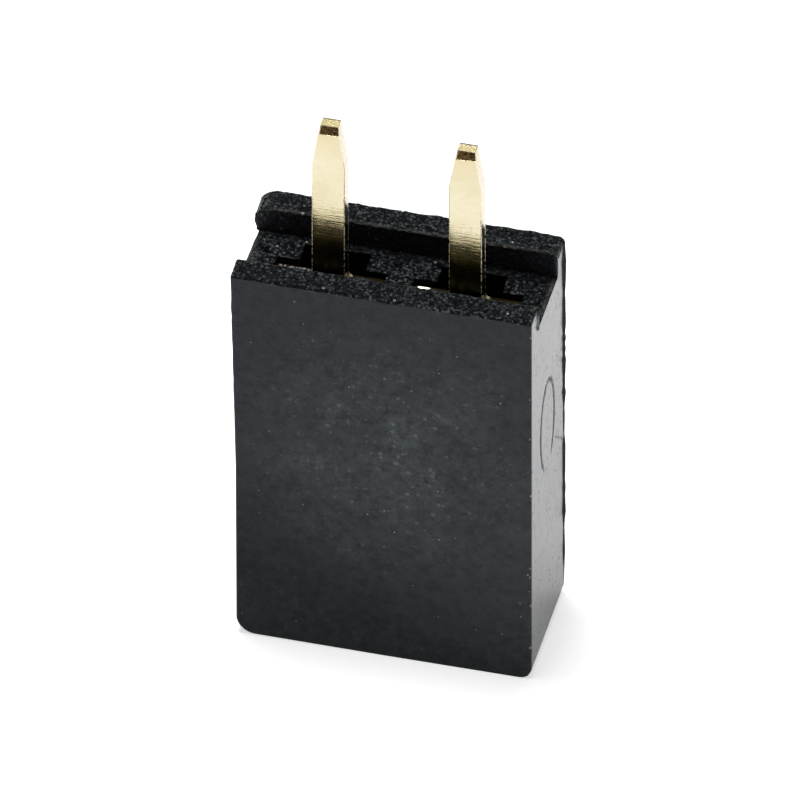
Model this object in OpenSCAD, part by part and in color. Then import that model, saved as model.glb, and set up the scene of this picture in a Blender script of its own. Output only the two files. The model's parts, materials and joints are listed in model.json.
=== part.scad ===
// Two-way socket header. A moulded housing stands on its mating face, and a stamped tuning-fork
// contact is pressed into each of its cavities from the board side, with its solder tail up.
// Origin at the centre of the mating face: X along the row, Y across it, Z towards the board.

/* [Row] */
// Distance between the two contacts
pitch = 2.54; // [2.4:0.02:5.08]
// Housing past the last pitch cell, at each end
end_margin = 0.2; // [0.05:0.05:1]

/* [Housing] */
// Depth of the housing across the row
body_d = 2.5; // [2.3:0.05:4]
// Height from the mating face to the tops of the standoff rails
body_h = 8.5; // [7.5:0.1:14]
// Width of each standoff rail
rail_w = 0.53; // [0.3:0.01:0.6]
// Depth of the flux channel between the rails
channel_h = 0.54; // [0.2:0.02:1]
// Radius of the left end's corner at the mating face
foot_left_r = 0.3; // [0.06:0.02:0.6]
// Radius of the right end's corner at the mating face
foot_right_r = 0.14; // [0.06:0.02:0.6]
// Radius at the ends of the rear rail
rear_rail_r = 0.2; // [0.06:0.02:0.4]
// Radius of the long edges
edge_r = 0.06; // [0.02:0.01:0.14]
// Thickness of the wall that the pins enter through
mating_wall = 0.8; // [0.6:0.05:1.2]

/* [Pin entry] */
// Side of the square pin that the socket takes
pin_w = 0.64; // [0.4:0.02:0.7]
// Room round the pin in the entry hole
entry_clear = 0.08; // [0.04:0.01:0.12]
// Width and depth of the 45 degree lead-in round the entry hole
lead_in = 0.22; // [0.1:0.01:0.3]
// Room beside the pin in its bay, along the row
bay_room_x = 0.29; // [0.15:0.01:0.32]
// Room beside the pin in its bay, across the row
bay_room_y = 0.2; // [0.1:0.01:0.22]

/* [Contact tail] */
// Thickness of the contact strip
stock_t = 0.3; // [0.15:0.01:0.4]
// Distance of the strip in front of the pins' axis
strip_offset = 0.1; // [0:0.01:0.14]
// Width of the solder tail
tail_w = 0.61; // [0.4:0.01:0.8]
// Length of the tail above the rails
tail_l = 3; // [2:0.1:6]
// Width of the tail's tip
tip_w = 0.334; // [0.2:0.002:0.4]
// Length of the taper at the tip
tip_taper_l = 0.88; // [0.4:0.02:1.5]
// Depth of the shear bevel on the front of the tip
tip_bevel_d = 0.08; // [0.02:0.01:0.12]
// Height of the shear bevel on the front of the tip
tip_bevel_h = 0.19; // [0.05:0.01:0.3]
// Radius where the tail meets the shoulders
tail_fillet_r = 0.1; // [0.04:0.01:0.15]

/* [Contact plate] */
// Distance of the shoulders below the channel's floor
shoulder_drop = 0.12; // [0:0.01:0.5]
// Height of the plate from its seat to its shoulders
plate_h = 1.42; // [1.2:0.02:2]
// Width of the ledge that each side of the plate sits on
ledge_w = 0.1; // [0.06:0.01:0.14]
// Play between the strip and its slot, on each face
slot_play = 0.03; // [0.01:0.005:0.06]
// Height of the locking barbs, each with as much ramp as land
barb_h = 0.24; // [0.12:0.02:0.3]
// Distance between the barbs, down each edge of the plate
barb_step = 0.5; // [0.36:0.02:0.6]

/* [Contact tines] */
// Width of each tine at its root
tine_root_w = 0.5; // [0.35:0.01:0.55]
// Width of each tine where it grips the pin
tine_grip_w = 0.46; // [0.42:0.01:0.5]
// How far a pin pushes each tine aside
grip = 0.07; // [0.03:0.01:0.1]
// Radius of the crown that touches the pin
crown_r = 0.2; // [0.1:0.01:0.2]
// How far the crown stands out of the tine's edge
crown_rise = 0.04; // [0.02:0.005:0.06]
// Height of the crowns above the mating wall
crown_lift = 1.2; // [0.8:0.05:2]
// How far the mouth of the tines opens beyond the grip, on each side
mouth_flare = 0.2; // [0.1:0.01:0.22]
// Gap between the tine tips and the mating wall
tip_gap = 0.12; // [0.05:0.01:0.3]
// Play between a pin and the root of the fork
root_play = 0.03; // [0.01:0.005:0.05]
// Distance of the fork's root below the plate's seat
root_drop = 0.2; // [0:0.05:0.6]
// Room outside each tine for it to spring into
tine_room = 0.04; // [0.03:0.005:0.08]

/* [Hidden] */
$fn = 64;

ways = 2;
// Overshoot of cutting shapes past the faces they open
over = 0.2;

body_l = ways * pitch + 2 * end_margin;
floor_z = body_h - channel_h;
rail_y = (body_d - rail_w) / 2;

// Fork, from the pin outwards
root_r = pin_w / 2 + root_play;
tine_slot_w = 2 * (root_r + tine_root_w + tine_room);
grip_x = pin_w / 2 - grip;

// Plate and the slot that it is pressed into
plate_w = tine_slot_w + 2 * ledge_w;
plate_slot_w = plate_w + 2 * slot_play;
slot_t = stock_t + 2 * slot_play;

// Heights, from the board side down
tail_tip_z = body_h + tail_l;
shoulder_z = floor_z - shoulder_drop;
seat_z = shoulder_z - plate_h;
root_z = seat_z - root_drop - root_r;
crown_z = mating_wall + crown_lift;
tine_tip_z = mating_wall + tip_gap;

// Pin entry
entry_w = pin_w + 2 * entry_clear;
bay_w = pin_w + 2 * bay_room_x;
bay_d = pin_w + 2 * bay_room_y;

// Stands a flat outline up, centred across the row, with its second axis along Z
module upright(t) {
    rotate([90, 0, 0]) linear_extrude(t, center = true) children();
}

// Lays a flat outline across the row, with its second axis along Z
module along_row(l) {
    rotate([90, 0, 90]) linear_extrude(l, center = true) children();
}

// Upright bar on the axis, with a radius at each foot and one at its head
module round_bar(w, h, left_r, right_r, head_r) {
    translate([left_r - w / 2, left_r]) circle(left_r);
    translate([w / 2 - right_r, right_r]) circle(right_r);
    for (side = [-1, 1]) translate([side * (w / 2 - head_r), h - head_r]) circle(head_r);
    translate([-w / 2, left_r]) square([w / 2, h - left_r - head_r]);
    translate([0, right_r]) square([w / 2, h - right_r - head_r]);
    translate([left_r - w / 2, 0]) square([w - left_r - right_r, h / 2]);
    translate([head_r - w / 2, h / 2]) square([w - 2 * head_r, h / 2]);
}

// What rounding takes off a corner, with the corner at the origin and the bar below and to its left
module corner_cut(r) {
    difference() {
        translate([-r, -r]) square(r + over);
        translate([-r, -r]) circle(r);
    }
}

// Section across the row: a web between two rails that hold the board off
module channel_section() {
    for (side = [-1, 1]) translate([side * rail_y, 0]) round_bar(rail_w, body_h, edge_r, edge_r, edge_r);
    translate([-rail_y, 0]) square([2 * rail_y, floor_z]);
}

module body_block() {
    difference() {
        intersection() {
            upright(body_d + over) round_bar(body_l, body_h, foot_left_r, foot_right_r, edge_r);
            along_row(body_l + over) channel_section();
        }
        for (side = [0, 1]) mirror([side, 0, 0]) translate([body_l / 2, rail_y, body_h])
            upright(rail_w + over) corner_cut(rear_rail_r);
    }
}

// Puts what is drawn on the pins' axis in the plane of the contact strip
module in_strip() {
    translate([0, -strip_offset, 0]) children();
}

// Square funnel, widest at the mating face
module lead_in_cut() {
    half = entry_w / 2;
    mouth = half + lead_in + over;
    outline = [[-mouth, -over], [mouth, -over], [half, lead_in], [-half, lead_in]];
    intersection() {
        upright(2 * mouth) polygon(outline);
        along_row(2 * mouth) polygon(outline);
    }
}

// Straight-sided pocket about a contact's axis, open above the channel's floor
module pocket(w, d, from_z) {
    translate([-w / 2, -d / 2, from_z]) cube([w, d, floor_z + over - from_z]);
}

// One cavity: slots for the plate and the tines, the bay for the pin, and its entry
module cavity() {
    in_strip() {
        pocket(plate_slot_w, slot_t, seat_z);
        pocket(tine_slot_w, slot_t, mating_wall);
    }
    pocket(bay_w, bay_d, mating_wall);
    pocket(entry_w, entry_w, -over);
    lead_in_cut();
}

module at_way(i) {
    translate([(i - (ways - 1) / 2) * pitch, 0, 0]) children();
}

module housing() {
    color("#26282b") difference() {
        body_block();
        for (i = [0 : ways - 1]) at_way(i) cavity();
    }
}

// Solder tail, with a tapered tip and a fillet at each shoulder
module tail_outline() {
    half = tail_w / 2;
    polygon([
        [-half, shoulder_z - over], [half, shoulder_z - over], [half, tail_tip_z - tip_taper_l],
        [tip_w / 2, tail_tip_z], [-tip_w / 2, tail_tip_z], [-half, tail_tip_z - tip_taper_l],
    ]);
    difference() {
        span = half + tail_fillet_r;
        translate([-span, shoulder_z - over]) square([2 * span, over + tail_fillet_r]);
        for (side = [-1, 1]) translate([side * span, shoulder_z + tail_fillet_r]) circle(tail_fillet_r);
    }
}

// Plate with two barbs down each edge that lock it in its slot
module plate_outline() {
    barb_top = shoulder_z - (plate_h - barb_step - barb_h) / 2;
    reach = plate_slot_w / 2;
    translate([-plate_w / 2, seat_z]) square([plate_w, plate_h]);
    for (top = [barb_top, barb_top - barb_step]) {
        polygon([
            [-reach, top], [-reach, top - barb_h / 2], [-plate_w / 2, top - barb_h],
            [plate_w / 2, top - barb_h], [reach, top - barb_h / 2], [reach, top],
        ]);
    }
}

// One tine: it leans in from the root to its crown and flares out to its tip
module tine_outline() {
    edge_x = grip_x + crown_rise;
    back_x = edge_x + tine_grip_w;
    polygon([
        [root_r, seat_z + over], [root_r, root_z], [edge_x, crown_z], [edge_x + mouth_flare, tine_tip_z],
        [back_x, tine_tip_z], [back_x, crown_z], [root_r + tine_root_w, root_z],
        [root_r + tine_root_w, seat_z + over],
    ]);
    translate([grip_x + crown_r, crown_z]) circle(crown_r);
}

// Bridge that joins the tines, with a round root between them
module bridge_outline() {
    span = root_r + tine_root_w;
    difference() {
        translate([-span, root_z]) square([2 * span, seat_z + over - root_z]);
        translate([0, root_z]) circle(root_r);
    }
}

module contact(i) {
    bevel_y = -stock_t / 2;
    at_way(i) in_strip() difference() {
        union() {
            upright(stock_t) tail_outline();
            upright(stock_t) plate_outline();
            upright(stock_t) bridge_outline();
            for (side = [0, 1]) mirror([side, 0, 0]) upright(stock_t) tine_outline();
        }
        along_row(2 * tail_w) polygon([
            [bevel_y, tail_tip_z - tip_bevel_h], [bevel_y + tip_bevel_d, tail_tip_z],
            [bevel_y + tip_bevel_d, tail_tip_z + over], [bevel_y - over, tail_tip_z + over],
            [bevel_y - over, tail_tip_z - tip_bevel_h],
        ]);
    }
}

module contact_1() {
    color("#d8b968") contact(0);
}

module contact_2() {
    color("#d8b968") contact(1);
}

housing();
contact_1();
contact_2();
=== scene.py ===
import json
import math

import bmesh
import bpy
import numpy as np
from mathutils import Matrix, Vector


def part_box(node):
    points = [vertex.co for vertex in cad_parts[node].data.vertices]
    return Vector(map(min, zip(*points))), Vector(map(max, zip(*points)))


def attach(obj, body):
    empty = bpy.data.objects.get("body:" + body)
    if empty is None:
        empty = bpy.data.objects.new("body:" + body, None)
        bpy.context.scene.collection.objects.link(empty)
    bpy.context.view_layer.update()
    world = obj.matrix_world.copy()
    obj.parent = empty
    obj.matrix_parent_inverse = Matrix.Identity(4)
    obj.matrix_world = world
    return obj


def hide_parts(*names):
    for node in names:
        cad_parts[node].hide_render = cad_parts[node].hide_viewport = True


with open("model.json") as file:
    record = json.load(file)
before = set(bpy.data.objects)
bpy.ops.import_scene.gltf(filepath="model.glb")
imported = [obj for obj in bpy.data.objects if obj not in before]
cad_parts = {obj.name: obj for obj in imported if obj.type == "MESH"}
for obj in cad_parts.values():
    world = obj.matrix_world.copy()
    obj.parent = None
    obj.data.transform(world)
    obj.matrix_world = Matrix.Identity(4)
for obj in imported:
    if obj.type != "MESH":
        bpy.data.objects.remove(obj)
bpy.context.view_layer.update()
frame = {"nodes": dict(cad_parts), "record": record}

# Housing: one black moulding of filled thermoplastic, which stands on its mating face. Two rails hold the
# board off it, and under the channel between them a cross-shaped cavity for each contact runs down to a
# square pin entry. The board side keeps the mould's spark grain, and both ends keep some flash.
mm = 0.001
row_half, depth_half, rail_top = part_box("housing")[1]
tail_mounts = [m["pos_m"] for m in frame["record"]["mounts"] if m["name"].startswith("solder_tail")]
way_x = [mount[0] for mount in tail_mounts]
strip_y = tail_mounts[0][1]

rail_inside = depth_half - 0.53 * mm
channel_floor = rail_top - 0.54 * mm
plate_slot_half = 1.02 * mm
plate_slot_foot = 6.42 * mm
tine_slot_half = 0.89 * mm
slot_depth_half = 0.18 * mm
bay_half = 0.61 * mm
bay_depth_half = 0.52 * mm
mating_wall = 0.8 * mm
entry_half = 0.4 * mm
lead_in = 0.22 * mm
lead_in_reach = 0.85 * mm

edge_radius = 0.05 * mm
sharp_radius = 0.015 * mm
foot_left_radius, foot_right_radius = 0.36 * mm, 0.23 * mm
rear_left_radius, rear_right_radius = 0.275 * mm, 0.15 * mm

fin_width = 0.075 * mm
fin_root = 1.15 * fin_width
ring_y, ring_z = -0.05 * mm, 5.08 * mm
ring_half_y, ring_half_z = 0.5 * mm, 1.02 * mm
scratch_start = np.array([0.5 * mm, 4.33 * mm])
scratch_end = np.array([1.0 * mm, 3.87 * mm])
marks_low, marks_high = scratch_end[1] - 0.1 * mm, ring_z + 1.1 * ring_half_z


def grid_lines(breaks, step):
    """Coordinates that pass through every break and lie no further apart than step."""
    breaks = sorted({round(b, 9) for b in breaks})
    lines = []
    for start, end in zip(breaks, breaks[1:]):
        count = max(1, math.ceil((end - start) / step - 1e-6))
        lines.extend(np.linspace(start, end, count, endpoint=False))
    return np.array([*lines, breaks[-1]]).round(9)


def mirrored(values):
    """Each value on both sides of the middle."""
    return [s * v for v in values for s in (-1, 1)]


def near_edge(face, inward):
    """A face and the lines behind it that its rounded edge needs."""
    return [face + inward * edge_radius * share for share in (0, 0.25, 0.5, 0.75, 1)]


# The grid is fine where the skin is rounded, grained or marked, and coarse on the plain walls.
x_lines = grid_lines(
    mirrored(near_edge(row_half, -1))
    + [x + half for x in way_x for half in mirrored([plate_slot_half, tine_slot_half, bay_half, entry_half])],
    step=0.05 * mm,
)
y_lines = grid_lines(
    mirrored(near_edge(depth_half, -1) + near_edge(rail_inside, 1) + [bay_depth_half, entry_half])
    + [strip_y - slot_depth_half, strip_y + slot_depth_half]
    + [depth_half - fin_width, depth_half - fin_root],
    step=0.035 * mm,
)
foot_lines = grid_lines(near_edge(0, 1) + [lead_in, foot_left_radius], step=0.06 * mm)
wall_lines = grid_lines(
    [foot_left_radius, mating_wall, plate_slot_foot, channel_floor - edge_radius], step=0.2 * mm,
)
mark_lines = grid_lines([marks_low, marks_high], step=0.055 * mm)
rail_lines = grid_lines(near_edge(channel_floor, -1) + near_edge(rail_top, -1), step=0.04 * mm)
z_lines = np.unique(np.concatenate([foot_lines, wall_lines, mark_lines, rail_lines]))

# Each cell of the grid is plastic or air, and the moulding's skin lies between the two.
mid_x, mid_y, mid_z = np.meshgrid(
    *[(lines[1:] + lines[:-1]) / 2 for lines in (x_lines, y_lines, z_lines)], indexing="ij"
)
solid = (mid_z < channel_floor) | (np.abs(mid_y) > rail_inside)
in_slot = np.abs(mid_y - strip_y) < slot_depth_half
in_bay = np.abs(mid_y) < bay_depth_half
for x in way_x:
    off_x = np.abs(mid_x - x)
    solid &= ~((off_x < plate_slot_half) & in_slot & (mid_z > plate_slot_foot))
    solid &= ~((off_x < tine_slot_half) & in_slot & (mid_z > mating_wall))
    solid &= ~((off_x < bay_half) & in_bay & (mid_z > mating_wall))
    solid &= ~((off_x < entry_half) & (np.abs(mid_y) < entry_half))

padded_solid = np.pad(solid, 1)
corner_shape = tuple(n + 1 for n in solid.shape)
quads = []
for axis in range(3):
    step_in = np.diff(padded_solid.astype(int), axis=axis)
    step_in = step_in[tuple(slice(None) if a == axis else slice(1, -1) for a in range(3))]
    side_a, side_b = [a for a in range(3) if a != axis]
    for sense in (1, -1):
        cells = np.argwhere(step_in == sense)
        turn = [(0, 0), (1, 0), (1, 1), (0, 1)]
        outward_is_plus = sense == -1
        if (axis == 1) == outward_is_plus:
            turn.reverse()
        corners = []
        for a, b in turn:
            corner = cells.copy()
            corner[:, side_a] += a
            corner[:, side_b] += b
            corners.append(np.ravel_multi_index(corner.T, corner_shape))
        quads.append(np.stack(corners, 1))
quads = np.concatenate(quads)
used, quads = np.unique(quads, return_inverse=True)
quads = quads.reshape(-1, 4)
i, j, k = np.unravel_index(used, corner_shape)
points = np.stack([x_lines[i], y_lines[j], z_lines[k]], 1)
grid_x, grid_y, grid_z = points.T.copy()

# Every outer edge gets its small radius: a point past the inner box keeps its reach, on a round. The edge
# round the mating face gets sharper to the right.
near = 0.001 * mm
above_floor = grid_z > channel_floor + near
on_rail = (np.abs(grid_y) > rail_inside - near) & (grid_z > channel_floor - near)
on_floor = (np.abs(grid_y) < rail_inside - near) & (grid_z > channel_floor - near)
low = np.tile([-row_half + edge_radius, -depth_half + edge_radius, edge_radius], (len(points), 1))
high = -low
at_base = grid_z < edge_radius - near
base_radius = sharp_radius + (edge_radius - sharp_radius) * np.clip(-grid_x / row_half, 0, 1)
sharper = (base_radius - edge_radius)[at_base, None]
low[at_base] += sharper
high[at_base] -= sharper
high[:, 2] = np.where(on_floor, channel_floor, rail_top) - edge_radius
low[on_rail & above_floor & (grid_y > 0), 1] = rail_inside + edge_radius
high[on_rail & above_floor & (grid_y < 0), 1] = -rail_inside - edge_radius
past = points - np.clip(points, low, high)
points += past * (np.abs(past).max(1) / np.maximum(np.linalg.norm(past, axis=1), 1e-12) - 1)[:, None]

# The feet of the ends and the ends of the rear rail have larger radii.
lower_half = grid_z < rail_top / 2
on_rear_rail = on_rail & (grid_y > 0)
for end, level, inward, radius, where in (
    (-1, 0, 1, foot_left_radius, lower_half),
    (1, 0, 1, foot_right_radius, lower_half),
    (-1, rail_top, -1, rear_left_radius, on_rear_rail),
    (1, rail_top, -1, rear_right_radius, on_rear_rail),
):
    past_x = end * points[:, 0] - row_half + radius
    past_z = inward * (level - points[:, 2]) + radius
    in_round = where & (past_x > 0) & (past_z > 0)
    past_x, past_z = past_x[in_round], past_z[in_round]
    pull = np.maximum(past_x, past_z) / np.hypot(past_x, past_z) - 1
    points[in_round, 0] += end * past_x * pull
    points[in_round, 2] -= inward * past_z * pull

# The entry widens to a square funnel at the mating face.
for x in way_x:
    off = points[:, :2] - [x, 0]
    span = np.abs(off).max(1)
    at_entry = (points[:, 2] < lead_in) & (span < lead_in_reach) & (span > entry_half - near)
    wall = entry_half + lead_in - points[at_entry, 2]
    wider = wall + (span[at_entry] - entry_half) * (lead_in_reach - wall) / (lead_in_reach - entry_half)
    points[at_entry, :2] = [x, 0] + off[at_entry] * (wider / span[at_entry])[:, None]


def wave(along, period, seed):
    """Smooth random wave between -1 and 1, with a new height every period."""
    place = along / period + 100
    knot = np.floor(place).astype(int)
    share = place - knot
    share = share * share * (3 - 2 * share)
    heights = np.random.default_rng(seed).uniform(-1, 1, 400)
    return heights[knot] * (1 - share) + heights[knot + 1] * share


# The left end was parted from a longer strip. It leans out, flares towards the rails, most of all at the
# front, and swells to a rounded nose on the rear rail. The parting left it a little wavy.
flare_foot = 4 * mm
flare_reach = 0.35 * mm
front_flare, rear_flare = 0.103 * mm, 0.048 * mm
flare_turn, flare_turn_length = -0.5 * mm, 0.8 * mm
left_lean, left_foot_in = 0.018 * mm, 0.004 * mm
nose_reach, nose_swell = 0.044 * mm, 0.044 * mm
nose_z, nose_half = 8.14 * mm, 0.13 * mm
parting_wave, parting_slant = 0.012 * mm, 0.6
rise = np.clip((points[:, 2] - flare_foot) / (rail_top - flare_foot), 0, 1)
to_rear = np.clip((grid_y - flare_turn) / flare_turn_length, 0, 1)
flare = (front_flare + (rear_flare - front_flare) * to_rear) * rise
nose = nose_reach + nose_swell * np.exp(-(((grid_z - nose_z) / nose_half) ** 2))
flare += left_lean * np.clip(grid_z / flare_foot, 0, 1) - left_foot_in + nose * on_rear_rail
flare += parting_wave * rise * wave(grid_z + parting_slant * grid_y, period=0.16 * mm, seed=3)
points[:, 0] -= flare * np.clip((flare_reach - row_half - grid_x) / flare_reach, 0, 1)

# The right end leans out to the rear, where the mould left a wavy fin that grows towards the rail and is
# lower on it. A shorter burr stands on the front rail's inner edge.
right_reach = 0.12 * mm
right_lean = 0.008 * mm
fin_height, fin_growth, fin_steepness, fin_wave = 0.026 * mm, 0.028 * mm, 6, 0.014 * mm
fin_foot, fin_foot_fade = 0.2 * mm, 1 * mm
fin_head, fin_head_fade, fin_head_least = 8.55 * mm, 0.6 * mm, 0.4
burr_y, burr_half = -rail_inside - 0.4 * edge_radius, 0.7 * edge_radius
burr_height, burr_wave = 0.035 * mm, 0.02 * mm
lean = right_lean * (grid_y / depth_half + 1) / 2
fin = fin_height + fin_growth * (grid_z / rail_top) ** fin_steepness
fin += fin_wave * wave(grid_z, period=0.13 * mm, seed=5)
fin *= (grid_y > depth_half - fin_width - near) * np.clip((grid_z - fin_foot) / fin_foot_fade, 0, 1)
fin *= np.clip((fin_head - grid_z) / fin_head_fade, fin_head_least, 1)
on_burr = (np.abs(grid_y - burr_y) < burr_half) & above_floor
rail_burr = on_burr * (burr_height + burr_wave * wave(grid_z, period=0.1 * mm, seed=8))
points[:, 0] += (lean + fin + rail_burr) * np.clip((right_reach - row_half + grid_x) / right_reach, 0, 1)

# The rear rail stands a little higher towards its right end.
rail_rise = 0.014 * mm
at_top = on_rear_rail & (grid_z > rail_top - edge_radius - near)
points[at_top, 2] += rail_rise * np.clip(grid_x[at_top] / row_half, 0, 1)

# A witness ring of the mould is a shallow oval groove in the right end, worn away at its foot.
groove_half, groove_depth = 0.03 * mm, 0.025 * mm
ring_gap, ring_gap_fade = -0.95, 0.25
on_right_end = grid_x > row_half - near
across, along = (grid_y - ring_y) / ring_half_y, (grid_z - ring_z) / ring_half_z
round_ring = np.maximum(np.hypot(across, along), 1e-6)
from_ring = (1 - 1 / round_ring) * np.hypot(grid_y - ring_y, grid_z - ring_z)
ring_left = np.clip((along - ring_gap) / ring_gap_fade, 0, 1)
points[:, 0] -= on_right_end * groove_depth * ring_left * np.exp(-((from_ring / groove_half) ** 2))

# A short scratch runs down from the ring to the rear.
scratch_depth = 0.013 * mm
from_start = np.stack([grid_y, grid_z], 1) - scratch_start
scratch = scratch_end - scratch_start
share = np.clip(from_start @ scratch / (scratch @ scratch), 0, 1)
from_scratch = np.linalg.norm(from_start - share[:, None] * scratch, axis=1)
points[:, 0] -= on_right_end * scratch_depth * np.exp(-((from_scratch / groove_half) ** 2))

# Grain lies on the board side, runs over the rounds of the rear rail's ends and is faint on the inner walls.
floor_grain, rail_grain, wall_grain = 1.0, 0.94, 0.4
inside_ends = np.abs(grid_x) < row_half - near
on_rail_top = on_rail & (grid_z > rail_top - edge_radius)
grain = np.where(on_floor, floor_grain, np.where(on_rail_top, rail_grain, 0.0))
for end, radius in ((-1, rear_left_radius), (1, rear_right_radius)):
    grain[on_rear_rail & (end * grid_x > row_half - near) & (grid_z > rail_top - radius)] = rail_grain
on_inner_wall = on_rail & inside_ends & (grain == 0) & (np.abs(grid_y) < depth_half - edge_radius)
grain[on_inner_wall] = wall_grain

# Shade is painted into the recesses: the cavities, the inner walls and the sides of the floor are darkened.
floor_painted_shade, wall_painted_shade = 0.8, 0.5
open_half = 0.35 * mm
in_cavity = inside_ends & (np.abs(grid_y) < rail_inside) & (grid_z > lead_in) & (grain == 0)
to_rail = np.clip((np.abs(grid_y) - open_half) / (rail_inside - open_half), 0, 1)
recess = np.where(in_cavity, 1.0, np.where(on_floor, floor_painted_shade * to_rail, 0.0))
recess[on_inner_wall] = wall_painted_shade

# The inner edges of the rails are painted pale as a highlight, and both ends of the floor are paler.
left_pale_width, right_pale_width, right_paleness = 0.09 * mm, 0.07 * mm, 1.5
on_inner_edge = on_rail_top & (np.abs(grid_y) < rail_inside + edge_radius)
on_left_edge = on_floor & (grid_x < left_pale_width - row_half)
worn = np.where(on_inner_edge | on_left_edge, 1.0, 0.0)
worn[on_floor & (grid_x > row_half - right_pale_width)] = right_paleness

moulding_mesh = bpy.data.meshes.new("housing_moulding")
moulding_mesh.from_pydata(points.tolist(), [], quads.tolist())
moulding_mesh.update()
moulding_mesh.shade_smooth()
moulding_mesh.set_sharp_from_angle(angle=math.radians(50))
for name, values in (("grain", grain), ("recess", recess), ("worn", worn)):
    mask = moulding_mesh.attributes.new(name, "FLOAT", "POINT")
    mask.data.foreach_set("value", values.astype(np.float32))
moulding = bpy.data.objects.new("housing_moulding", moulding_mesh)
bpy.context.scene.collection.objects.link(moulding)


def add(tree, kind, inputs=None, **settings):
    """A node with its settings, and with each input set to a value or linked to a socket."""
    made = tree.nodes.new(kind)
    for name, value in settings.items():
        setattr(made, name, value)
    for name, value in (inputs or {}).items():
        if isinstance(value, bpy.types.NodeSocket):
            tree.links.new(value, made.inputs[name])
        else:
            made.inputs[name].default_value = value
    return made


def math_of(tree, operation, a, b=0.0):
    """One sum on one or two values or sockets."""
    return add(tree, "ShaderNodeMath", {0: a, 1: b}, operation=operation).outputs[0]


def product(tree, first, *others):
    """Values or sockets multiplied together."""
    for other in others:
        first = math_of(tree, "MULTIPLY", first, other)
    return first


def noise(tree, vector, scale, detail, roughness=0.5):
    """Smooth random values in space."""
    return add(tree, "ShaderNodeTexNoise", {
        "Vector": vector, "Scale": scale, "Detail": detail, "Roughness": roughness,
    }).outputs[0]


def new_tree(name, kind, inputs, outputs):
    """A node tree with named inputs and outputs, and its two end nodes."""
    tree = bpy.data.node_groups.new(name, kind)
    for side, sockets in (("INPUT", inputs), ("OUTPUT", outputs)):
        for socket, socket_kind in sockets.items():
            tree.interface.new_socket(socket, in_out=side, socket_type="NodeSocket" + socket_kind)
    return tree, tree.nodes.new("NodeGroupInput").outputs, tree.nodes.new("NodeGroupOutput").inputs


def shape_with(tree, piece, values):
    """Runs a geometry tree on a piece, with values for its named inputs, and keeps the plain mesh."""
    modifier = piece.modifiers.new(tree.name, "NODES")
    modifier.node_group = tree
    for item in tree.interface.items_tree:
        if item.in_out == "INPUT" and item.name in values:
            modifier[item.identifier] = values[item.name]
    shaped = piece.evaluated_get(bpy.context.evaluated_depsgraph_get())
    mesh = bpy.data.meshes.new_from_object(shaped)
    piece.modifiers.clear()
    mesh.name = piece.name
    piece.data = mesh


# The spark grain lifts and sinks the board side along its own normals.
spark_grain, given, result = new_tree(
    "spark_grain", "GeometryNodeTree",
    {"Geometry": "Geometry", "Depth": "Float", "Lumps Per Metre": "Float", "Finish": "Material"},
    {"Geometry": "Geometry"},
)
place = add(spark_grain, "GeometryNodeInputPosition").outputs[0]
lumps = noise(spark_grain, place, scale=given["Lumps Per Metre"], detail=3.0, roughness=0.7)
mask = add(spark_grain, "GeometryNodeInputNamedAttribute", {"Name": "grain"}, data_type="FLOAT").outputs[0]
height = math_of(spark_grain, "SUBTRACT", lumps, 0.5)
height = product(spark_grain, height, product(spark_grain, mask, given["Depth"]))
outward = add(spark_grain, "GeometryNodeInputNormal").outputs[0]
offset = add(spark_grain, "ShaderNodeVectorMath", {0: outward, "Scale": height}, operation="SCALE").outputs[0]
grained = add(spark_grain, "GeometryNodeSetPosition", {"Geometry": given["Geometry"], "Offset": offset})
real = add(spark_grain, "GeometryNodeRealizeInstances", {0: grained.outputs[0]})
finished = add(spark_grain, "GeometryNodeSetMaterial", {
    "Geometry": real.outputs[0], "Material": given["Finish"],
})
spark_grain.links.new(finished.outputs[0], result[0])

# Two effects that the plastic and the plating share: small specks in a few cells of a field, and clouds.
specks, given, result = new_tree(
    "specks", "ShaderNodeTree",
    {"Vector": "Vector", "Cells Per Metre": "Float", "Share": "Float", "Radius": "Float"}, {"Mask": "Float"},
)
field = add(specks, "ShaderNodeTexVoronoi", {"Vector": given["Vector"], "Scale": given["Cells Per Metre"]})
lot = add(specks, "ShaderNodeSeparateColor", {0: field.outputs["Color"]})
chosen = math_of(specks, "LESS_THAN", lot.outputs[0], given["Share"])
radius = product(specks, lot.outputs[1], given["Radius"])
inside = math_of(specks, "LESS_THAN", field.outputs["Distance"], radius)
specks.links.new(product(specks, chosen, inside, lot.outputs[2]), result[0])

clouds, given, result = new_tree(
    "clouds", "ShaderNodeTree", {"Vector": "Vector", "Clouds Per Metre": "Float"}, {"Value": "Float"},
)
drift = add(clouds, "ShaderNodeTexNoise", {
    "Vector": given["Vector"], "Scale": given["Clouds Per Metre"], "Detail": 5.0, "Roughness": 0.6,
    "Distortion": 0.8,
}).outputs[0]
cloudy = add(clouds, "ShaderNodeMapRange", {"Value": drift, "From Min": 0.3, "From Max": 0.7})
clouds.links.new(cloudy.outputs[0], result[0])


def specks_on(tree, place, per_metre, share, radius):
    """Mask of small specks, with so many cells to the metre and a speck in a share of them."""
    return add(tree, "ShaderNodeGroup", {
        "Vector": place, "Cells Per Metre": per_metre, "Share": share, "Radius": radius,
    }, node_tree=specks).outputs[0]


def clouds_on(tree, place, per_metre):
    """Soft clouds between 0 and 1."""
    return add(tree, "ShaderNodeGroup", {
        "Vector": place, "Clouds Per Metre": per_metre,
    }, node_tree=clouds).outputs[0]


def blend(tree, share, a, b):
    """A colour between a and b."""
    return add(tree, "ShaderNodeMix", {0: share, 6: a, 7: b}, data_type="RGBA").outputs[2]


def between(tree, share, a, b):
    """A value between a and b."""
    return add(tree, "ShaderNodeMix", {0: share, 2: a, 3: b}, data_type="FLOAT").outputs[0]


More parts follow.
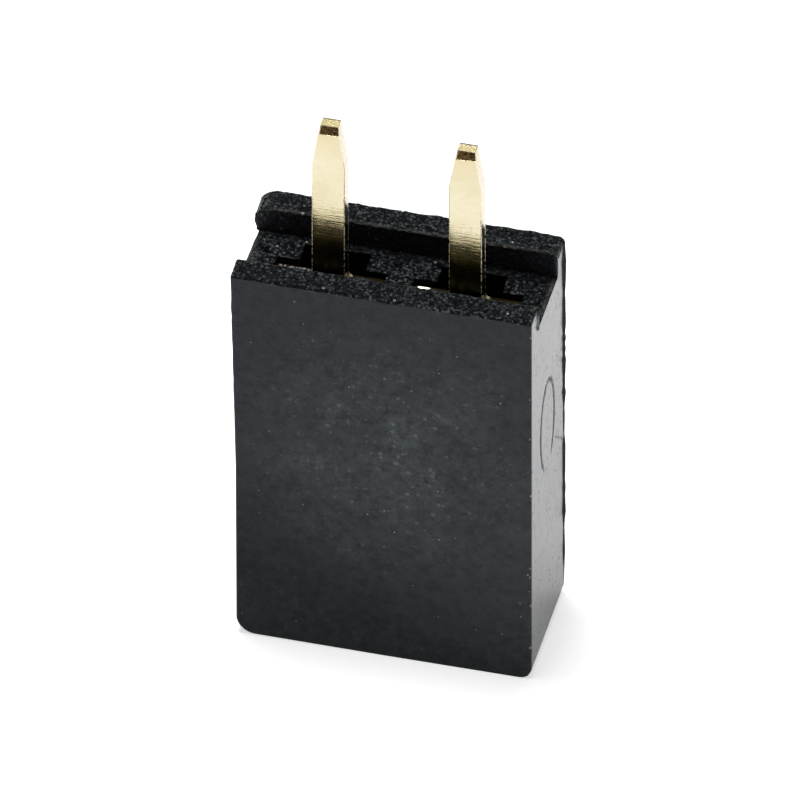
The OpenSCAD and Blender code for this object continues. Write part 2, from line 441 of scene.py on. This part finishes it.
def fade(tree, value, start, end):
    """1 at start and 0 at end, held beyond both. It rises with the value where start is the greater."""
    return add(tree, "ShaderNodeMapRange", {
        "Value": value, "From Min": start, "From Max": end, "To Min": 1.0, "To Max": 0.0,
    }).outputs[0]


def mark_on(tree, name):
    """A value that the mesh carries."""
    return add(tree, "ShaderNodeAttribute", attribute_name=name).outputs["Fac"]


def new_material(name):
    """A material with its node tree, its shader and its Object coordinates."""
    material = bpy.data.materials.new(name)
    material.use_nodes = True
    tree = material.node_tree
    return material, tree, tree.nodes["Principled BSDF"], add(tree, "ShaderNodeTexCoord").outputs["Object"]


# Black plastic: near-black filler under a fine peel, with a paler layer painted on as sheen that fades out
# towards the foot, a haze where it is handled, nicks along the front right edge and settled dust.
black_plastic, tree, shader, place = new_material("black_plastic")
grain, recess, worn = [mark_on(tree, name) for name in ("grain", "recess", "worn")]
smudge = clouds_on(tree, place, per_metre=900)
pocks = specks_on(tree, place, per_metre=12000, share=0.5, radius=0.5)
peel = noise(tree, place, scale=6000, detail=5.0, roughness=0.75)
peel = fade(tree, peel, 0.68, 0.32)

# Painted reflection: the face is made paler higher up and to the right, and darker towards the foot, where
# the table it mirrors lies in shade.
sheen_slope = (0.4, 0, 1)
painted_face_sheen = add(tree, "ShaderNodeVectorMath", {0: place, 1: sheen_slope}, operation="DOT_PRODUCT").outputs["Value"]
painted_face_sheen = fade(tree, painted_face_sheen, 3.4 * mm, 0.8 * mm)
handled_at = (0.3 * mm, -depth_half, 5 * mm)
handled = add(tree, "ShaderNodeVectorMath", {0: place, 1: handled_at}, operation="DISTANCE").outputs["Value"]
handled = fade(tree, handled, 0.5 * mm, 3.3 * mm)
haze = product(tree, smudge, handled, peel, between(tree, pocks, 0.8, 2.8))

front_right = (row_half, -depth_half, 0)
from_edge = add(tree, "ShaderNodeVectorMath", {0: place, 1: front_right}, operation="SUBTRACT")
from_edge = add(tree, "ShaderNodeVectorMath", {0: from_edge.outputs[0], 1: (1, 1, 0)}, operation="MULTIPLY")
from_edge = add(tree, "ShaderNodeVectorMath", {0: from_edge.outputs[0]}, operation="LENGTH").outputs["Value"]
nicks = specks_on(tree, place, per_metre=10000, share=0.2, radius=0.45)
nicks = product(tree, nicks, fade(tree, from_edge, 0.03 * mm, 0.05 * mm))
dust = specks_on(tree, place, per_metre=6000, share=0.28, radius=0.2)
dust = product(tree, math_of(tree, "POWER", dust, 1.6), between(tree, painted_face_sheen, 0.3, 1.0))

# Grained skin breaks up into dark and pale chips, and a few pale specks among them are painted glints.
cells = add(tree, "ShaderNodeTexVoronoi", {"Vector": place, "Scale": 20000})
chips = add(tree, "ShaderNodeSeparateColor", {0: cells.outputs["Color"]}).outputs[0]
chips = product(tree, math_of(tree, "POWER", chips, 2.2), fade(tree, cells.outputs["Distance"], 0.3, 0.75))
chipped = blend(tree, chips, (0.001, 0.0016, 0.002, 1), (0.125, 0.149, 0.159, 1))
painted_glints = specks_on(tree, place, per_metre=8000, share=0.13, radius=0.35)
chipped = blend(tree, painted_glints, chipped, (0.62, 0.64, 0.64, 1))

# Each layer lies over the ones before it: where it shows, and its colour.
colour = blend(tree, peel, (0.003, 0.0045, 0.006, 1), (0.0185, 0.0245, 0.027, 1))
for shows, layer in (
    # Painted sheen, paler higher up the face.
    (product(tree, painted_face_sheen, between(tree, peel, 0.5, 1.0)), (0.041, 0.043, 0.0515, 1)),
    (haze, (0.118, 0.14, 0.147, 1)),
    (grain, chipped),
    # Painted highlight on the inner rail edges, and paler floor ends.
    (product(tree, worn, peel), (0.1, 0.098, 0.095, 1)),
    # Painted shade, near black in the recesses.
    (recess, (0.002, 0.002, 0.003, 1)),
    (nicks, (0.36, 0.37, 0.39, 1)),
    (dust, (0.3, 0.3, 0.29, 1)),
):
    colour = blend(tree, shows, colour, layer)
tree.links.new(colour, shader.inputs["Base Color"])

satin = math_of(tree, "ADD", between(tree, smudge, 0.07, 0.14), product(tree, pocks, 0.25))
satin = math_of(tree, "ADD", satin, product(tree, peel, 0.12))
tree.links.new(between(tree, recess, between(tree, grain, satin, 0.34), 0.7), shader.inputs["Roughness"])
shader.inputs["Specular IOR Level"].default_value = 0.0885
sparks = noise(tree, place, scale=14000, detail=2.0)
height = between(tree, grain, product(tree, peel, 0.006), sparks)
bump = add(tree, "ShaderNodeBump", {"Strength": 1.0, "Distance": 0.09 * mm, "Height": height})
tree.links.new(bump.outputs[0], shader.inputs["Normal"])

shape_with(spark_grain, moulding, {"Depth": 0.1 * mm, "Lumps Per Metre": 3500.0, "Finish": black_plastic})
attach(moulding, "root")
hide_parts("housing")

# Contacts: each is stamped from gold-plated strip and pressed into its cavity from the board side. It has a
# flat solder tail, a plate with barbs that lock in the housing, and two tines that grip a pin. The press
# leaves a small radius along every sheared edge, and the bevel on the tip's front a little slanted.
blade_mesh = frame["nodes"]["contact_1"].data.copy()
blade = bmesh.new()
blade.from_mesh(blade_mesh)
bmesh.ops.remove_doubles(blade, verts=blade.verts, dist=near)
bmesh.ops.dissolve_limit(blade, angle_limit=math.radians(1), verts=blade.verts, edges=blade.edges)
tail_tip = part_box("contact_1")[1][2]
tip_taper = 0.157
bevel_foot = tail_tip - 0.19 * mm
bevel_lift, bevel_slant = 0.042 * mm, 0.063
for corner in blade.verts:
    if abs(corner.co.z - bevel_foot) < near:
        beside = corner.co.x - way_x[0]
        lift = bevel_lift + bevel_slant * beside
        corner.co.z += lift
        corner.co.x -= math.copysign(tip_taper * lift, beside)
blade.to_mesh(blade_mesh)
blade.free()
blade_mesh.materials.clear()
blade_mesh.shade_smooth()
contacts = bpy.data.objects.new("contacts", blade_mesh)
bpy.context.scene.collection.objects.link(contacts)
sheared_edges = contacts.modifiers.new("sheared_edges", "BEVEL")
sheared_edges.width = 0.03 * mm
sheared_edges.segments = 5
sheared_edges.limit_method = "ANGLE"
sheared_edges.angle_limit = math.radians(40)

# The row marks the blade's sheared edges, its level cuts and its rolled edges, and repeats it at the pitch.
# The second tail was cut a little shorter than the first.
contact_row, given, result = new_tree(
    "contact_row", "GeometryNodeTree",
    {
        "Geometry": "Geometry", "Ways": "Int", "Pitch": "Vector", "Tail Foot": "Float", "Tail Tip": "Float",
        "Short Cut": "Float", "Finish": "Material",
    },
    {"Geometry": "Geometry"},
)
facing = add(contact_row, "GeometryNodeInputNormal").outputs[0]
facing = add(contact_row, "ShaderNodeSeparateXYZ", {0: facing}).outputs
flatness = math_of(contact_row, "ABSOLUTE", facing["Y"])
edge_on = fade(contact_row, flatness, 0.5, 0.8)
level_cut = product(contact_row, edge_on, math_of(contact_row, "GREATER_THAN", facing["Z"], 0.5))
rolled = product(
    contact_row, math_of(contact_row, "GREATER_THAN", flatness, 0.1),
    math_of(contact_row, "LESS_THAN", flatness, 0.995),
)
stamped = given["Geometry"]
for name, value in (("sheared", edge_on), ("cut_top", level_cut), ("rolled", rolled)):
    stamped = add(contact_row, "GeometryNodeStoreNamedAttribute", {
        "Geometry": stamped, "Name": name, "Value": value,
    }, data_type="FLOAT", domain="FACE").outputs[0]
stops = add(contact_row, "GeometryNodeMeshLine", {"Count": given["Ways"], "Offset": given["Pitch"]})
row = add(contact_row, "GeometryNodeInstanceOnPoints", {"Points": stops.outputs[0], "Instance": stamped})
real = add(contact_row, "GeometryNodeRealizeInstances", {0: row.outputs[0]})
at = add(contact_row, "GeometryNodeInputPosition").outputs[0]
at = add(contact_row, "ShaderNodeSeparateXYZ", {0: at}).outputs
marked = add(contact_row, "GeometryNodeStoreNamedAttribute", {
    "Geometry": real.outputs[0], "Name": "below_tip",
    "Value": math_of(contact_row, "SUBTRACT", given["Tail Tip"], at["Z"]),
}, data_type="FLOAT", domain="POINT")
second = math_of(contact_row, "GREATER_THAN", at["X"], 0.0)
up_tail = add(contact_row, "ShaderNodeMapRange", {
    "Value": at["Z"], "From Min": given["Tail Foot"], "From Max": given["Tail Tip"],
    "To Min": 0.0, "To Max": -1.0,
}).outputs[0]
drop = product(contact_row, second, up_tail, given["Short Cut"])
down = add(contact_row, "ShaderNodeCombineXYZ", {"Z": drop}).outputs[0]
cut = add(contact_row, "GeometryNodeSetPosition", {"Geometry": marked.outputs[0], "Offset": down})
plated = add(contact_row, "GeometryNodeSetMaterial", {
    "Geometry": cut.outputs[0], "Material": given["Finish"],
})
contact_row.links.new(plated.outputs[0], result[0])

# Gold plate: a thin flash of gold over nickel, drawn across by the press, with a few pits and dull clouds.
gold_plate, tree, shader, place = new_material("gold_plate")
pitch = way_x[1] - way_x[0]
drawn = add(tree, "ShaderNodeMapping", {"Vector": place, "Scale": (1800, 1800, 18000)}).outputs[0]
draw_lines = noise(tree, drawn, scale=1.0, detail=3.0, roughness=0.6)
tarnish = clouds_on(tree, place, per_metre=1500)
pits = specks_on(tree, place, per_metre=7000, share=0.06, radius=0.22)
sheared, cut_top, rolled, below_tip = [
    mark_on(tree, name) for name in ("sheared", "cut_top", "rolled", "below_tip")
]
at = add(tree, "ShaderNodeSeparateXYZ", {0: place}).outputs
off_axis = math_of(tree, "SUBTRACT", math_of(tree, "FLOORED_MODULO", at["X"], pitch), pitch / 2)
at_foot = fade(tree, below_tip, 2.6 * mm, 1.8 * mm)
at_tip = fade(tree, below_tip, 0.2 * mm, 0.8 * mm)

# The shear tore the metal on the tip's bevel, and left it bare and dark between the rolled edges.
torn = noise(tree, place, scale=20000, detail=3.0)
torn = fade(tree, torn, 0.7, 0.3)
tear_off_axis = 0.012 * mm
tear = math_of(tree, "ADD", below_tip, product(tree, off_axis, bevel_slant))
beside = math_of(tree, "ABSOLUTE", math_of(tree, "SUBTRACT", off_axis, tear_off_axis))
beside = math_of(tree, "SUBTRACT", beside, product(tree, below_tip, tip_taper))
torn_off = product(
    tree, fade(tree, tear, 0.14 * mm, 0.153 * mm), fade(tree, beside, 0.145 * mm, 0.16 * mm),
    fade(tree, at["Y"], -0.175 * mm, -0.155 * mm),
)

# Painted shade runs down the right rim in broken dark dashes, and painted glints lie as bright dots of burr
# along the rolled edges and the rear lip.
dashes = add(tree, "ShaderNodeMapping", {"Vector": place, "Scale": (0, 0, 9000)}).outputs[0]
dashes = noise(tree, dashes, scale=1.0, detail=2.0)
painted_rim_shade = product(
    tree, fade(tree, dashes, 0.6, 0.45), fade(tree, off_axis, 0.29 * mm, 0.275 * mm),
    fade(tree, below_tip, 1.6 * mm, 1.2 * mm),
)
rear_lip = fade(tree, at["Y"], 0.03 * mm, 0.01 * mm)
low_roll = product(tree, rolled, fade(tree, below_tip, 1.8 * mm, 1.3 * mm))
burr_glints = math_of(tree, "MAXIMUM", low_roll, product(tree, sheared, rear_lip))
burr_glints = product(tree, burr_glints, fade(tree, dashes, 0.53, 0.43))

# The shoulders are scuffed, painted dark along the rear as shade, and darkened to the right of the tail, on
# the second contact almost all over, by stain and painted shadow. The fillet right of each tail carries a
# painted glint, and one corner that was pressed down is tilted and painted pale as a glint.
shoulder = product(tree, cut_top, fade(tree, below_tip, 3.3 * mm, 3 * mm))
scuffs = blend(tree, fade(tree, torn, 0.65, 0.4), (0.025, 0.02, 0.014, 1), (0.5, 0.48, 0.43, 1))
shaded = product(tree, shoulder, fade(tree, at["Y"], 0.025 * mm, 0.005 * mm))
stain_and_shadow = math_of(
    tree, "MAXIMUM", fade(tree, off_axis, 0.4 * mm, 0.34 * mm), fade(tree, at["X"], 0.64 * mm, 0.6 * mm),
)
painted_fillet_glint = product(tree, fade(tree, off_axis, 0.36 * mm, 0.4 * mm), fade(tree, off_axis, 0.3 * mm, 0.28 * mm))
pressed_x = 0.45 * mm
pressed_glint = math_of(tree, "ABSOLUTE", math_of(tree, "SUBTRACT", at["X"], pressed_x))
pressed_glint = product(
    tree, shoulder, fade(tree, pressed_glint, 0.095 * mm, 0.13 * mm), fade(tree, at["Y"], 0.015 * mm, 0.035 * mm),
)

colour = blend(tree, tarnish, (0.755, 0.695, 0.512, 1), (0.68, 0.605, 0.405, 1))
for shows, layer in (
    (at_foot, (0.57, 0.44, 0.165, 1)),
    (at_tip, (0.68, 0.59, 0.38, 1)),
    (pits, (0.15, 0.1, 0.04, 1)),
    # Painted shade on the right rim.
    (painted_rim_shade, (0.1, 0.07, 0.025, 1)),
    (sheared, blend(tree, torn, (0.6, 0.52, 0.36, 1), (0.78, 0.72, 0.6, 1))),
    # Painted glints, pale burr dots.
    (burr_glints, (0.95, 0.86, 0.66, 1)),
    (cut_top, blend(tree, torn, (0.93, 0.73, 0.32, 1), (1.0, 0.97, 0.68, 1))),
    # Painted shade, dark along the rear lip of each level cut.
    (product(tree, cut_top, rear_lip), (0.09, 0.06, 0.025, 1)),
    (shoulder, scuffs),
    # Painted shade along the rear of the shoulders.
    (shaded, (0.012, 0.009, 0.005, 1)),
    # Stain and painted shadow to the right of the tail.
    (product(tree, shoulder, stain_and_shadow), (0.035, 0.026, 0.012, 1)),
    # Painted glint on the fillet.
    (product(tree, shoulder, painted_fillet_glint), (0.9, 0.8, 0.55, 1)),
    # Painted glint on the pressed corner.
    (pressed_glint, (1.0, 0.95, 0.78, 1)),
    (torn_off, blend(tree, torn, (0.02, 0.01, 0.004, 1), (0.24, 0.15, 0.06, 1))),
):
    colour = blend(tree, shows, colour, layer)
tree.links.new(colour, shader.inputs["Base Color"])
shader.inputs["Metallic"].default_value = 1

rough = math_of(tree, "MAXIMUM", math_of(tree, "MAXIMUM", cut_top, torn_off), burr_glints)
polish = math_of(tree, "ADD", between(tree, tarnish, 0.09, 0.15), product(tree, at_foot, 0.07))
polish = between(tree, rough, between(tree, sheared, polish, 0.12), 0.62)
tree.links.new(between(tree, pressed_glint, polish, 0.3), shader.inputs["Roughness"])

# The faces show the press's lines and roll over to their sides, and torn and pressed metal lies at a slant.
relief_depth = 0.005 * mm
torn_slant, pressed_slant = 0.14 / relief_depth, 0.4 / relief_depth
roll = fade(tree, math_of(tree, "ABSOLUTE", off_axis), 0.31 * mm, 0.2 * mm)
roll = product(tree, math_of(tree, "POWER", roll, 2.0), 2.0)
torn_relief = math_of(tree, "ADD", product(tree, torn, 3.0), product(tree, at["Y"], torn_slant))
relief = between(tree, rough, math_of(tree, "SUBTRACT", draw_lines, roll), torn_relief)
relief = between(tree, pressed_glint, relief, product(tree, at["Y"], pressed_slant))
bump = add(tree, "ShaderNodeBump", {"Strength": 1.0, "Distance": relief_depth, "Height": relief})
tree.links.new(bump.outputs[0], shader.inputs["Normal"])

shape_with(contact_row, contacts, {
    "Ways": len(way_x), "Pitch": (pitch, 0.0, 0.0), "Tail Foot": rail_top, "Tail Tip": tail_tip,
    "Short Cut": 0.075 * mm, "Finish": gold_plate,
})
contacts.data.set_sharp_from_angle(angle=math.radians(20.5))
flat_faces = contacts.modifiers.new("flat_faces", "WEIGHTED_NORMAL")
flat_faces.weight = 100
flat_faces.keep_sharp = True
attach(contacts, "root")
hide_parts("contact_1", "contact_2")

# Studio: a white table with a glow of its own, brightest in a pool behind the housing. A soft lamp hangs
# almost overhead, a little to the left and behind, in a dim tent with a paler sweep at the back.
table_half = 0.5
table_mesh = bpy.data.meshes.new("table")
table_corners = [(x * table_half, y * table_half, 0) for x, y in ((-1, -1), (1, -1), (1, 1), (-1, 1))]
table_mesh.from_pydata(table_corners, [], [(0, 1, 2, 3)])
table = bpy.data.objects.new("table", table_mesh)
bpy.context.scene.collection.objects.link(table)
table_white, tree, shader, place = new_material("table_white")
shader.inputs["Base Color"].default_value = (0.9, 0.9, 0.9, 1)
shader.inputs["Roughness"].default_value = 0.8
shader.inputs["Specular IOR Level"].default_value = 0.2
shader.inputs["Emission Color"].default_value = (1, 1, 1, 1)
table_glow, rear_glow, pool_glow = 0.62, 0.93, 0.42
rearward = add(tree, "ShaderNodeSeparateXYZ", {0: place}).outputs["Y"]
pool = between(tree, fade(tree, rearward, 2.6 * mm, 0.6 * mm), table_glow, rear_glow)
pool = math_of(tree, "ADD", pool, product(tree, fade(tree, rearward, 9 * mm, 2 * mm), pool_glow))
glow = between(tree, fade(tree, rearward, 10 * mm, 10.6 * mm), table_glow, pool)
tree.links.new(glow, shader.inputs["Emission Strength"])
table_mesh.materials.append(table_white)

tent = bpy.data.worlds.new("tent")
tent.use_nodes = True
bpy.context.scene.world = tent
tree = tent.node_tree
to_back = (0, 0.985, 0.174)
heading = add(tree, "ShaderNodeTexCoord").outputs["Generated"]
behind = add(tree, "ShaderNodeVectorMath", {0: heading, 1: to_back}, operation="DOT_PRODUCT")
sweep = add(tree, "ShaderNodeMapRange", {
    "Value": behind.outputs["Value"], "From Min": 0.75, "From Max": 0.9, "To Min": 0.12, "To Max": 0.36,
}, interpolation_type="SMOOTHSTEP")
background = tree.nodes["Background"]
background.inputs["Color"].default_value = (1, 1, 1, 1)
tree.links.new(sweep.outputs["Result"], background.inputs["Strength"])

lamp_light = bpy.data.lights.new("softbox", "AREA")
lamp_light.shape = "RECTANGLE"
lamp_light.size = 0.18
lamp_light.size_y = 0.18
lamp_light.energy = 2.25
lamp = bpy.data.objects.new("softbox", lamp_light)
lamp.location = (-0.055, 0.035, 0.6)
lamp.rotation_euler = (-lamp.location).to_track_quat("-Z", "Y").to_euler()
bpy.context.scene.collection.objects.link(lamp)

azimuth, elevation = math.radians(13.76), math.radians(41.3)
aim = Vector((0, 0, 5.06 * mm))
camera_distance = 0.3
camera_lens = bpy.data.cameras.new("camera")
camera_lens.type = "ORTHO"
camera_lens.ortho_scale = 14.405 * mm
camera_lens.clip_start = 0.01
camera_lens.clip_end = 10
camera = bpy.data.objects.new("camera", camera_lens)
back = Vector((
    math.sin(azimuth) * math.cos(elevation), -math.cos(azimuth) * math.cos(elevation), math.sin(elevation),
))
camera.location = aim + back * camera_distance
camera.rotation_euler = (-back).to_track_quat("-Z", "Y").to_euler()
bpy.context.scene.collection.objects.link(camera)
bpy.context.scene.camera = camera
bpy.context.scene.view_settings.view_transform = "Standard"
